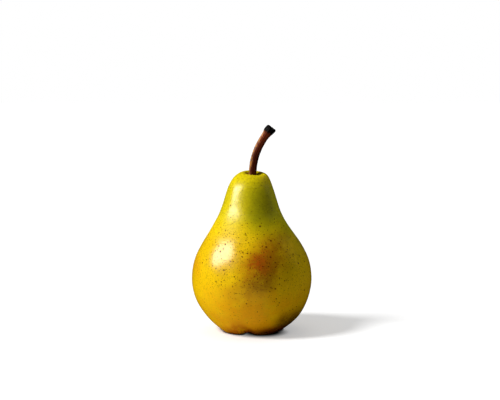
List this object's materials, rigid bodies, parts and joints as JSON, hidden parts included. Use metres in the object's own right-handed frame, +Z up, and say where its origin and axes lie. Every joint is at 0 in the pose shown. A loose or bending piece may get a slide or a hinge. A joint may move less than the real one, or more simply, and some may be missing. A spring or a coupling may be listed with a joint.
{
  "type": "pear",
  "caption": "Whole ripe pear with a rounded belly, tapering neck and bent woody stem, standing on its lobed base; a piece of fresh fruit for a bowl, table or kitchen.",
  "frame": {"origin": "on the floor under the middle of the fruit, at the centre of the bounding box's bottom", "axes": "+Z up along the fruit towards the stem, +X to the right in the front view where the stem's end leans, -Y to the front"},
  "size_m": [0.07, 0.07, 0.1201],
  "materials": {
    "skin": "smooth waxy yellow skin with a red-brown blush and freckles",
    "stem_bark": "thin brown bark, black at the broken end",
    "dried_flower": "dry, dark brown and matt"
  },
  "bodies": {
    "root": {"fruit": "skin", "stem": "stem_bark", "sepal_1": "dried_flower", "sepal_2": "dried_flower", "sepal_3": "dried_flower", "sepal_4": "dried_flower", "sepal_5": "dried_flower", "dried_stamens": "dried_flower"}
  },
  "joints": []
}
